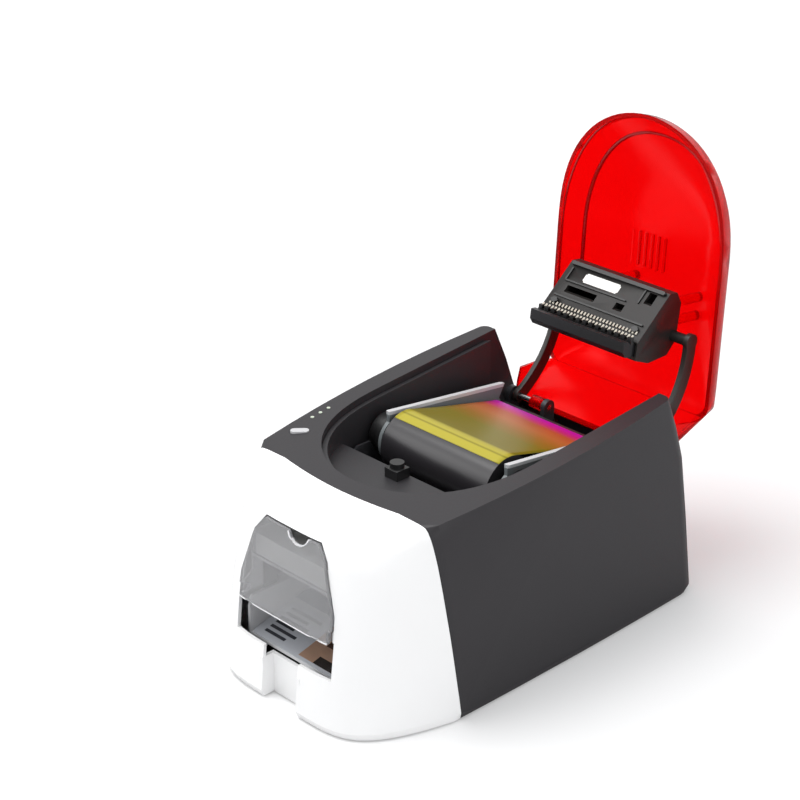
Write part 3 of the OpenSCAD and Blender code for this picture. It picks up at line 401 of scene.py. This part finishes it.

# ---------------------------------------------------------------- visor
# A curved flap of smoke-tinted polycarbonate, moulded with two stub pivots and
# a finger scoop in its top edge. Thick polished lips stiffen its edges; their pale
# colour is a painted highlight.

# polished polycarbonate: clear and dark behind, with slow waves in its reflections
wave_size = 0.03333
smoke, tree = new_material("polished_smoke_polycarbonate")
place = add(tree, "ShaderNodeTexCoord")
waves = add(tree, "ShaderNodeTexNoise", {"Scale": 1 / wave_size, "Detail": 2.0},
            {"Vector": (place, "Object")})
ripple = add(tree, "ShaderNodeBump", {"Strength": 0.05, "Distance": 0.0003}, {"Height": (waves, "Fac")})
skin = add(tree, "ShaderNodeBsdfPrincipled",
           {"Base Color": linear("#d8d8da"), "Roughness": 0.06, "IOR": 1.58, "Transmission Weight": 0.8},
           {"Normal": (ripple, 0)})
add(tree, "ShaderNodeOutputMaterial", (), {"Surface": (skin, 0)})
finished("visor", "smoke_visor", smoke, "visor")


def new_tree(name, sizes):
    """An empty geometry tree with its named inputs; gives the tree and its group input."""
    tree = bpy.data.node_groups.new(name, "GeometryNodeTree")
    tree.interface.new_socket("Geometry", in_out="INPUT", socket_type="NodeSocketGeometry")
    for label, kind in sizes + (("Finish", "Material"),):
        tree.interface.new_socket(label, in_out="INPUT", socket_type="NodeSocket" + kind)
    tree.interface.new_socket("Geometry", in_out="OUTPUT", socket_type="NodeSocketGeometry")
    return tree, add(tree, "NodeGroupInput")


def close_tree(tree, given, shape):
    """Ends a geometry tree: smooth shading, real geometry, and the finish."""
    smooth = add(tree, "GeometryNodeSetShadeSmooth", (), {0: (shape, 0)})
    real = add(tree, "GeometryNodeRealizeInstances", (), {0: (smooth, 0)})
    finish = add(tree, "GeometryNodeSetMaterial", (), {"Geometry": (real, 0), "Material": (given, "Finish")})
    add(tree, "NodeGroupOutput", (), {0: (finish, 0)})


def grown(name, tree, sizes, material, body, path=()):
    """Runs a geometry tree once, with its named sizes, and keeps the result as one plain mesh."""
    start = bpy.data.meshes.new(name + "_start")
    start.from_pydata([tuple(p) for p in path], [(i, i + 1) for i in range(len(path) - 1)], [])
    piece = placed(name, start)
    growth = piece.modifiers.new("growth", "NODES")
    growth.node_group = tree
    given = {**sizes, "Finish": material}
    for item in tree.interface.items_tree:
        if item.in_out == "INPUT" and item.name in given:
            growth[item.identifier] = given[item.name]
    mesh = applied(piece)
    mesh.name = name
    mesh.set_sharp_from_angle(angle=radians(35))
    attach(piece, body)
    return piece


# a round bead that follows a path
bead_tree, given = new_tree("moulded_bead", (("Radius", "Float"), ("Spacing", "Float")))
line = add(bead_tree, "GeometryNodeMeshToCurve", (), {"Mesh": (given, "Geometry")})
even = add(bead_tree, "GeometryNodeResampleCurve", {"mode": "LENGTH"},
           {"Curve": (line, 0), "Length": (given, "Spacing")})
circle = add(bead_tree, "GeometryNodeCurvePrimitiveCircle", {"Resolution": 10}, {"Radius": (given, "Radius")})
tube = add(bead_tree, "GeometryNodeCurveToMesh", {"Fill Caps": True},
           {"Curve": (even, 0), "Profile Curve": (circle, 0)})
close_tree(bead_tree, given, tube)


def foremost(edge, step, point):
    """Keeps the point nearest the front at each step along an edge."""
    edge[step] = min(edge.get(step, point), point, key=lambda p: p.y)


# the lips follow the scoop's arc and the lower edge, both read off the visor's own shape
low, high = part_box("visor")
scoop_x, scoop_z, scoop_radius, near = 0.009, high.z + 0.003, 0.010, 0.0002
scoop, hem = {}, {}
for vert in nodes["visor"].data.vertices:
    across, up = vert.co.x - scoop_x, vert.co.z - scoop_z
    if abs(sqrt(across ** 2 + up ** 2) - scoop_radius) < near:
        foremost(scoop, round(atan2(up, across), 2), vert.co)
    if vert.co.z < low.z + near:
        foremost(hem, round(vert.co.x, 3), vert.co)
# the lips' pale colour is a painted highlight, where the polished edges catch the light
lip = moulded("lip_painted_highlight", "#e2e2e4", 0.15, grain=0.002, relief=0.00001)
for name, edge, radius in (("scoop_lip", scoop, 0.0006), ("hem_lip", hem, 0.0004)):
    grown(name, bead_tree, {"Radius": radius, "Spacing": 0.0015}, lip, "visor",
          [edge[step] for step in sorted(edge)])

# ---------------------------------------------------------------- lid
# A deep domed lid of tinted polycarbonate, moulded in one piece with its hinge
# knuckles, screw bosses and ribs, polished, and hung on two steel pins.

# tinted polycarbonate: a strong clear red; the way through it is longest at a
# grazing look, so outlines are dark
lid_wave_size = 0.07143
red_clear, tree = new_material("tinted_red_polycarbonate")
place = add(tree, "ShaderNodeTexCoord")
waves = add(tree, "ShaderNodeTexNoise", {"Scale": 1 / lid_wave_size, "Detail": 2.0},
            {"Vector": (place, "Object")})
ripple = add(tree, "ShaderNodeBump", {"Strength": 0.12, "Distance": 0.0005}, {"Height": (waves, "Fac")})
deep = add(tree, "ShaderNodeMix", {"data_type": "RGBA", 6: linear("#fb0204"), 7: linear("#ff0406")},
           {0: (waves, "Fac")})
grazing = add(tree, "ShaderNodeLayerWeight", {"Blend": 0.5})
rim = add(tree, "ShaderNodeMapRange", {"From Min": 0.78, "From Max": 0.98}, {"Value": (grazing, "Facing")})
shade = add(tree, "ShaderNodeMix", {"data_type": "RGBA", 7: linear("#5a0208")}, {0: (rim, 0), 6: (deep, 2)})
skin = add(tree, "ShaderNodeBsdfPrincipled",
           {"Roughness": 0.22, "IOR": 1.5, "Transmission Weight": 0.85, "Specular IOR Level": 0.06,
            "Specular Tint": linear("#ff3030")},
           {"Normal": (ripple, 0), "Base Color": (shade, 2)})
add(tree, "ShaderNodeOutputMaterial", (), {"Surface": (skin, 0)})
finished("lid_shell", "red_lid", red_clear, "lid")

# the lid and its head are measured shut, then swung open about the pins
hinge = middle("hinge_pins")
swing = radians(-98)
swung = Matrix.Translation(hinge) @ Matrix.Rotation(swing, 4, "X") @ Matrix.Translation(-hinge)

# the rim of the casing is this high at its front edge and rises towards the back
casing_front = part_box("main_casing")[0].y
rim_front_height, rim_tilt = 0.145, tan(radians(5))
# the lid's crown stands over the rim; its plan is straight-sided, with a round nose
crown_rise, lid_half = 0.038, 0.077
nose_y, nose_root_y = casing_front + 0.015, casing_front + 0.115
# an ellipse is 1, and a lower power makes the nose squarer
nose_fullness = 0.9


def lid_ring(side, front, under, end_y):
    """Points round the shut lid's inside: in from its sides and its nose, and under its crown's plane."""
    half, nose, steps = lid_half - side, nose_y + front, 14
    right = [(half, end_y), (half, nose_root_y)]
    for i in range(1, steps + 1):
        turn = pi / 2 * i / steps
        x = half * cos(turn) ** nose_fullness if i < steps else 0.0
        right.append((x, nose_root_y - (nose_root_y - nose) * sin(turn)))
    whole = right + [(-x, y) for x, y in reversed(right[:-1])]
    crown = rim_front_height + crown_rise - under
    return [swung @ Vector((x, y, crown + (y - casing_front) * rim_tilt)) for x, y in whole]


# two stiffening beads inside: in the thick of the wall the red is deeper
edge_red = moulded("red_polycarbonate_edge", "#b00008", 0.2, grain=0.002, relief=0.00001)
for name, radius, ring in (
        ("lid_bead", 0.0015, lid_ring(side=0.0112, front=0.016, under=0.0245, end_y=0.056)),
        ("lid_rim_bead", 0.0009, lid_ring(side=0.003, front=0.0032, under=0.0405, end_y=0.071))):
    grown(name, bead_tree, {"Radius": radius, "Spacing": 0.003}, edge_red, "lid", ring)

# ---------------------------------------------------------------- print head
# The head hangs in the lid on two bent steel arms: a dark ABS housing screwed
# together, with the heating bar, its finned heat sink and toothed film guides.

# powder-coated steel: brown-black, with a soft sheen
arm_steel = moulded("black_coated_steel", "#1e1613", 0.42, grain=0.0012, relief=0.00003)
finished("head_arm_left", "left_arm", arm_steel, "lid", edge=0.0006)
finished("head_arm_right", "right_arm", arm_steel, "lid", edge=0.0006)
# textured ABS: dark grey and dull
head_grey = moulded("moulded_dark_grey_abs", "#211f1e", 0.45, grain=0.0009, relief=0.00005, glint=0.35)
finished("head_frame", "head_housing", head_grey, "lid", edge=0.0006)
# extruded and anodised: dark satin streaks along the fins, coarser than real ones, to show
aluminium = drawn_metal("black_anodised_aluminium", "#2a2a2d", 0.6, gloss=(0.25, 0.42),
                        mark_length=0.05, mark_gap=0.0006667)
dress(aluminium, "thermal_head", "heat_sink")

platen_y, platen_radius = middle("platen_roller").y, 0.0075
platen_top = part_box("platen_roller")[0].z + 2 * platen_radius


def over_platen(x, y, z):
    """A point of the shut head, from the top of the platen roller under it."""
    return Vector((x, platen_y + y, platen_top + z))


# the front face slopes, 29 mm down in 32 mm back; on it Y runs down and Z goes in
face_slope = atan2(0.029, 0.032)
head_face = Matrix.Translation(over_platen(0, -0.018, 0.028)) @ Matrix.Rotation(-face_slope, 4, "X")


def on_head_face(name, size, place, material):
    """A low block with rounded corners; its middle is so far across, down and out of the face."""
    across, down, out = place
    corner = min(0.0012, min(size[:2]) * 0.4)
    work = bmesh.new()
    bmesh.ops.create_cube(work, size=1, matrix=Matrix.Diagonal(size + (1,)))
    upright = [e for e in work.edges if abs(e.verts[0].co.z - e.verts[1].co.z) > size[2] / 2]
    bmesh.ops.bevel(work, geom=upright, offset=corner, segments=3, affect="EDGES")
    work.transform(swung @ head_face @ Matrix.Translation((across, down, -out)))
    piece = placed(name, mesh_from(work, name, material))
    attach(piece, "lid")


# plain uncoated paper: white and matt
label_paper = moulded("matt_label_paper", "#eeeeea", 0.7, grain=0.0006, relief=0.00002)
on_head_face("head_label", (0.033, 0.0078, 0.0002), (-0.0106, -0.0116, 0.0001), label_paper)
for name, size, place in (("upper_ledge", (0.088, 0.0028, 0.0024), (0, -0.0196, 0.001)),
                          ("label_rib", (0.058, 0.0011, 0.0012), (-0.012, -0.0052, 0.0005)),
                          ("middle_rib", (0.084, 0.0013, 0.0014), (0, 0.0082, 0.0006)),
                          ("left_rib", (0.0012, 0.012, 0.0012), (-0.0405, -0.0105, 0.0005)),
                          ("window_rib", (0.0012, 0.012, 0.0012), (0.0268, -0.0125, 0.0005)),
                          ("left_stop", (0.006, 0.0042, 0.0022), (-0.038, 0.0128, 0.001)),
                          ("right_stop", (0.006, 0.0042, 0.0022), (0.038, 0.0128, 0.001))):
    on_head_face(name, size, place, black_pom)

# two rows of pale teeth guide the film, on the strip under the head and on its face
dress(black_pom, "head_comb")
teeth_tree, given = new_tree("row_of_teeth", (("Count", "Int"), ("Pitch", "Vector"), ("Start", "Vector"),
                                              ("Width", "Float"), ("Height", "Float"), ("Turn", "Vector")))
row = add(teeth_tree, "GeometryNodeMeshLine", (),
          {"Count": (given, "Count"), "Start Location": (given, "Start"), "Offset": (given, "Pitch")})
tip = add(teeth_tree, "ShaderNodeMath", {"operation": "MULTIPLY", 1: 0.7}, {0: (given, "Width")})
tooth = add(teeth_tree, "GeometryNodeMeshCone", {"Vertices": 4},
            {"Radius Bottom": (given, "Width"), "Radius Top": (tip, 0), "Depth": (given, "Height")})
teeth = add(teeth_tree, "GeometryNodeInstanceOnPoints", (),
            {"Points": (row, 0), "Instance": (tooth, 0), "Rotation": (given, "Turn")})
close_tree(teeth_tree, given, teeth)
tooth_pitch, tooth_lean = 0.003, radians(45)
for name, count, centre, width, height in (
        ("guide_teeth", 29, over_platen(0, -0.0048, 0.0103), 0.0011, 0.0028),
        ("upper_teeth", 28, head_face @ Vector((0, 0.0162, -0.0008)), 0.0009, 0.0026)):
    start = swung @ (centre - Vector((tooth_pitch * (count - 1) / 2, 0, 0)))
    grown(name, teeth_tree,
          {"Count": count, "Pitch": (tooth_pitch, 0, 0), "Start": start, "Width": width, "Height": height,
           "Turn": (swing + tooth_lean, 0, 0)}, nylon, "lid")

# compression springs of round wire press the heating bar down
coil_tree, given = new_tree("wire_coil", (("Radius", "Float"), ("Length", "Float"), ("Turns", "Float"),
                                          ("Wire", "Float"), ("Place", "Vector"), ("Turn", "Vector")))
coil = add(coil_tree, "GeometryNodeCurveSpiral", {"Resolution": 20},
           {"Rotations": (given, "Turns"), "Start Radius": (given, "Radius"), "End Radius": (given, "Radius"),
            "Height": (given, "Length")})
wire = add(coil_tree, "GeometryNodeCurvePrimitiveCircle", {"Resolution": 8}, {"Radius": (given, "Wire")})
spring = add(coil_tree, "GeometryNodeCurveToMesh", {"Fill Caps": True},
             {"Curve": (coil, 0), "Profile Curve": (wire, 0)})
seated = add(coil_tree, "GeometryNodeTransform", (),
             {"Geometry": (spring, 0), "Translation": (given, "Place"), "Rotation": (given, "Turn")})
close_tree(coil_tree, given, seated)
spring_x = 0.036
for name, x in (("left_spring", -spring_x), ("right_spring", spring_x)):
    piece = grown(name, coil_tree,
                  {"Radius": 0.0029, "Length": 0.0141, "Turns": 6.0, "Wire": 0.0004,
                   "Place": swung @ over_platen(x, -0.001, 0.0379), "Turn": (swing, 0, 0)},
                  bright_steel, "lid")
    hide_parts("head_springs")

# ---------------------------------------------------------------- ribbon cassette
# Two moulded ABS side plates joined by two rods hold the supply and take-up
# spools. Each plate has a raised middle and a flange along its top.

supply, takeup = middle("supply_roll"), middle("takeup_roll")
run = (takeup - supply).normalized()
rise = Vector((0, -run.z, run.y))

# cassette ABS: mid grey with a fine texture, paler on the raised middles, with a painted highlight on the
# flanges along the tops
grey_abs = moulded("moulded_cassette_abs", "#777d7f", 0.42, grain=0.001, relief=0.00004)
raised_beyond, flange_over_spools = 0.0583, 0.0194
tree = grey_abs.node_tree
skin = next(n for n in tree.nodes if n.type == "BSDF_PRINCIPLED")
shade = skin.inputs["Base Color"].links[0].from_node
place = add(tree, "ShaderNodeTexCoord")
axes = add(tree, "ShaderNodeSeparateXYZ", (), {0: (place, "Object")})
outward = add(tree, "ShaderNodeMath", {"operation": "ABSOLUTE"}, {0: (axes, 0)})
height = add(tree, "ShaderNodeVectorMath", {"operation": "DOT_PRODUCT", 1: rise}, {0: (place, "Object")})
raised = add(tree, "ShaderNodeMath", {"operation": "GREATER_THAN", 1: raised_beyond}, {0: (outward, 0)})
flange_highlight = add(tree, "ShaderNodeMath",
             {"operation": "GREATER_THAN", 1: (supply + takeup).dot(rise) / 2 + flange_over_spools},
             {0: (height, "Value")})
# the flanges' pale colour is a painted highlight, where the tops catch the overhead light
for cover, colour in ((raised, "#94999b"), (flange_highlight, "#cbcdce")):
    shade = add(tree, "ShaderNodeMix", {"data_type": "RGBA", 7: linear(colour)},
                {0: (cover, 0), 6: (shade, 2)})
tree.links.new(shade.outputs[2], skin.inputs["Base Color"])
finished("cassette_plate_left", "left_plate", grey_abs, "cassette", edge=0.0005)
finished("cassette_plate_right", "right_plate", grey_abs, "cassette", edge=0.0005)
finished("cassette_bars", "cassette_rods", grey_abs, "cassette", edge=0.0005)

# ---------------------------------------------------------------- ribbon film
# A strip of polyester film coated with dye in panels as long as a card. It
# runs off the top of the supply roll and is wound onto the take-up roll.

# dye film: satin, yellow at the front with a narrow darker band, painted shade where it spans the dark bay,
# then orange and magenta
film, tree = new_material("dye_panel_film")
low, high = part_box("ribbon_film")
place = add(tree, "ShaderNodeTexCoord")
axes = add(tree, "ShaderNodeSeparateXYZ", (), {0: (place, "Object")})
along = add(tree, "ShaderNodeMapRange", {"From Min": low.y - 0.015, "From Max": high.y}, {"Value": (axes, 1)})
dye_panels_and_painted_shade = add(tree, "ShaderNodeValToRGB", (), {0: (along, 0)})
colours = dye_panels_and_painted_shade.color_ramp.elements
colours[0].color = linear("#afa435")
colours[1].color = linear("#b414a0")
# the olive stops from 0.165 to 0.45 are painted shade, where the film spans the dark bay
for share, code in ((0.06, "#b0a536"), (0.075, "#837a1c"), (0.09, "#afa435"), (0.13, "#a89d30"),
                    (0.165, "#746a10"), (0.45, "#766b12"), (0.6, "#8e6620"), (0.74, "#ab6634"),
                    (0.86, "#ab5230"), (0.92, "#b8286c")):
    colours.new(share).color = linear(code)
skin = add(tree, "ShaderNodeBsdfPrincipled", {"Roughness": 0.36, "Specular IOR Level": 0.25},
           {"Base Color": (dye_panels_and_painted_shade, 0)})
add(tree, "ShaderNodeOutputMaterial", (), {"Surface": (skin, 0)})


def radius_over(node, gap=0.0002):
    """The radius at which the strip lies on a roll."""
    low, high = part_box(node)
    return (high.z - low.z) / 2 + gap


def on_roll(centre, radius, turn):
    """A point of a roll's rim, turned forwards from over the spool line."""
    return centre + radius * (run * sin(turn) + rise * cos(turn))


# the free span is the common tangent of both rolls, and sags a little
supply_radius, takeup_radius = radius_over("supply_roll"), radius_over("takeup_roll")
drop = supply_radius - takeup_radius
lean = atan2(drop, sqrt((takeup - supply).length ** 2 - drop ** 2))
supply_wrap, takeup_wrap, wrap_steps = radians(38), radians(60), 12
span_steps, sag = 24, 0.0007
line = []
for i in range(wrap_steps + 1):
    line.append(on_roll(supply, supply_radius, lean - supply_wrap * (1 - i / wrap_steps)))
start, end = line[-1], on_roll(takeup, takeup_radius, lean)
for i in range(1, span_steps):
    share = i / span_steps
    line.append(start.lerp(end, share) - rise * sag * 4 * share * (1 - share))
for i in range(wrap_steps + 1):
    line.append(on_roll(takeup, takeup_radius, lean + takeup_wrap * i / wrap_steps))

# faint wrinkles run along the span, and nearly die out where the film lies on a roll
wrinkle, held, per_metre, per_step = 0.00015, 0.2, 160, 0.35
columns = 20
corners, quads = [], []
for k, point in enumerate(line):
    depth = wrinkle if wrap_steps + 1 < k < wrap_steps + span_steps else wrinkle * held
    for i in range(columns + 1):
        x = low.x + (high.x - low.x) * i / columns
        corners.append((x, point.y, point.z + depth * sin(x * per_metre + k * per_step)))
for k in range(len(line) - 1):
    for i in range(columns):
        a = k * (columns + 1) + i
        quads.append((a, a + 1, a + columns + 2, a + columns + 1))
mesh = bpy.data.meshes.new("film_strip")
mesh.from_pydata(corners, [], quads)
mesh.shade_smooth()
mesh.materials.append(film)
strip = placed("film_strip", mesh)
# thicker than real film, which would be too thin to show
strip.modifiers.new("film_thickness", "SOLIDIFY").thickness = 0.00012
applied(strip)
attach(strip, "cassette")
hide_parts("ribbon_film")
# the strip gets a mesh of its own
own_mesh(strip)

# wound film: nearly black, its edges fine rings, drawn far coarser than real ones, to show
ring_gap = 0.0006
for node, centre in (("supply_roll", supply), ("takeup_roll", takeup)):
    wound, tree = new_material("wound_film_" + node)
    place = add(tree, "ShaderNodeTexCoord")
    centred = add(tree, "ShaderNodeMapping", {"Location": (0, -centre.y, -centre.z)},
                  {"Vector": (place, "Object")})
    flat = add(tree, "ShaderNodeVectorMath", {"operation": "MULTIPLY", 1: (0, 1, 1)}, {0: (centred, 0)})
    radius = add(tree, "ShaderNodeVectorMath", {"operation": "LENGTH"}, {0: (flat, 0)})
    layers = add(tree, "ShaderNodeMath", {"operation": "MULTIPLY", 1: 2 * pi / ring_gap},
                 {0: (radius, "Value")})
    ring = add(tree, "ShaderNodeMath", {"operation": "SINE"}, {0: (layers, 0)})
    level = add(tree, "ShaderNodeMapRange", {"From Min": -1.0, "From Max": 1.0}, {"Value": (ring, 0)})
    shade = add(tree, "ShaderNodeMix", {"data_type": "RGBA", 6: linear("#19181a"), 7: linear("#29272a")},
                {0: (level, 0)})
    skin = add(tree, "ShaderNodeBsdfPrincipled", {"Roughness": 0.3, "IOR": 1.55}, {"Base Color": (shade, 2)})
    add(tree, "ShaderNodeOutputMaterial", (), {"Surface": (skin, 0)})
    dress(wound, node)

# ---------------------------------------------------------------- spool cores
# Each roll is wound on a hollow acetal core with flanged ends, which turn in
# the frames. Six moulded lugs in the mouth of each end take the drive.

dress(black_pom, "supply_core", "takeup_core")
lug_tree, given = new_tree("ring_of_lugs", (("Count", "Int"), ("Radius", "Float"), ("Size", "Vector"),
                                            ("Place", "Vector")))
circle = add(lug_tree, "GeometryNodeMeshCircle", (),
             {"Vertices": (given, "Count"), "Radius": (given, "Radius")})
spoke = add(lug_tree, "GeometryNodeInputPosition")
facing = add(lug_tree, "FunctionNodeAlignRotationToVector", {"axis": "X"}, {"Vector": (spoke, 0)})
block = add(lug_tree, "GeometryNodeMeshCube", (), {"Size": (given, "Size")})
lugs = add(lug_tree, "GeometryNodeInstanceOnPoints", (),
           {"Points": (circle, 0), "Instance": (block, 0), "Rotation": (facing, 0)})
upright = add(lug_tree, "GeometryNodeTransform", {"Rotation": (0, radians(90), 0)},
              {"Geometry": (lugs, 0), "Translation": (given, "Place")})
close_tree(lug_tree, given, upright)
# the take-up core is narrower at its left end, beside the drive gear
lug_x, wide_mouth, narrow_mouth = 0.067, 0.0106, 0.0077
for name, centre, left_mouth in (("supply", supply, wide_mouth), ("takeup", takeup, narrow_mouth)):
    for end, x, mouth in (("left", -lug_x, left_mouth), ("right", lug_x, wide_mouth)):
        grown(f"{name}_lugs_{end}", lug_tree,
              {"Count": 6, "Radius": mouth, "Size": (0.002, 0.0024, 0.006), "Place": (x, centre.y, centre.z)},
              black_pom, name + "_spool")
